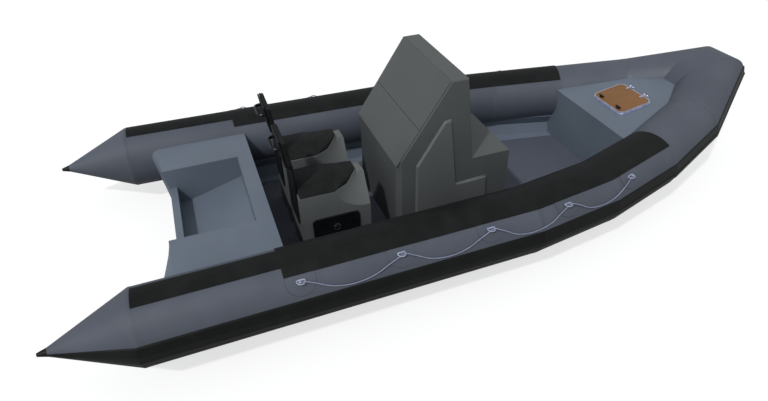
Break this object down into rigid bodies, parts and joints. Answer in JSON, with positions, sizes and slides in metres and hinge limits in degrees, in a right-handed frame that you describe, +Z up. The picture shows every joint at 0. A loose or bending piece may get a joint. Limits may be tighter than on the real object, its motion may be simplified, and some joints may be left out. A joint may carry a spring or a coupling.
{
  "type": "rigid inflatable boat",
  "caption": "Rigid inflatable boat: inflated tubes round an open cockpit, V hull, centre console with a seat in front, straddle seats with backrests, bow hatch and engine well.",
  "frame": {"origin": "on the waterline and the centreline, a little aft of amidships", "axes": "+X towards the bow, +Y to port, +Z up"},
  "size_m": [6.2398, 2.6556, 1.7198],
  "materials": {
    "tube_fabric": "matt coated fabric",
    "black_rubber": "matt",
    "hull_gelcoat": "gelcoat",
    "deck_gelcoat": "gelcoat",
    "deck_mat": "studded non-slip sheet",
    "console_grp": "satin",
    "dash_plate": "satin",
    "seat_cover": "vinyl",
    "pod_grp": "satin",
    "black_metal": "satin",
    "black_plastic": "satin",
    "anodised": "satin",
    "hatch_lens": "bronze acrylic",
    "ring_plastic": "satin",
    "rope": "braided"
  },
  "bodies": {
    "boat": {"tube_port": "tube_fabric", "tube_starboard": "tube_fabric", "tube_nose": "tube_fabric", "cone_port": "tube_fabric", "cone_starboard": "tube_fabric", "cone_caps": "black_rubber", "strake_port": "black_rubber", "strake_starboard": "black_rubber", "wear_strip_port": "black_rubber", "wear_strip_starboard": "black_rubber", "hull": "hull_gelcoat", "sole": "deck_gelcoat", "sole_mat": "deck_mat", "side_liner_port": "deck_gelcoat", "side_liner_starboard": "deck_gelcoat", "aft_deck": "deck_gelcoat", "transom": "deck_gelcoat", "bow_locker": "deck_gelcoat", "console": "console_grp", "dash_lower": "dash_plate", "dash_upper": "dash_plate", "console_panel_port": "dash_plate", "console_panel_starboard": "dash_plate", "seat_pod_port": "pod_grp", "seat_pod_starboard": "pod_grp", "seat_cushion_port": "seat_cover", "seat_cushion_starboard": "seat_cover", "pod_hatch_frame_port": "black_plastic", "pod_hatch_frame_starboard": "black_plastic", "backrest_plate_port": "black_metal", "backrest_plate_starboard": "black_metal", "backrest_pad_port": "seat_cover", "backrest_pad_starboard": "seat_cover", "grab_hoop_port": "black_metal", "grab_hoop_starboard": "black_metal", "hatch_frame": "anodised", "lifeline_patches": "tube_fabric", "lifeline_rings": "ring_plastic", "lifeline_port": "rope", "lifeline_starboard": "rope"},
    "bow_hatch": {"hatch_lid": "anodised", "hatch_lens": "hatch_lens", "hatch_handles": "black_plastic"},
    "pod_door_port": {"pod_door_port": "black_plastic"},
    "pod_door_starboard": {"pod_door_starboard": "black_plastic"}
  },
  "joints": [
    {"name": "bow_hatch_hinge", "type": "hinge", "parent": "boat", "child": "bow_hatch", "pos_m": [2.04557, 0, 0.62964], "axis": [0, 1, 0], "range_deg": [0, 100]},
    {"name": "pod_door_port_hinge", "type": "hinge", "parent": "boat", "child": "pod_door_port", "pos_m": [-1.0815, 0.4813, 0.224], "axis": [-1, 0, 0], "range_deg": [0, 110]},
    {"name": "pod_door_starboard_hinge", "type": "hinge", "parent": "boat", "child": "pod_door_starboard", "pos_m": [-1.0815, -0.4813, 0.224], "axis": [1, 0, 0], "range_deg": [0, 110]}
  ]
}
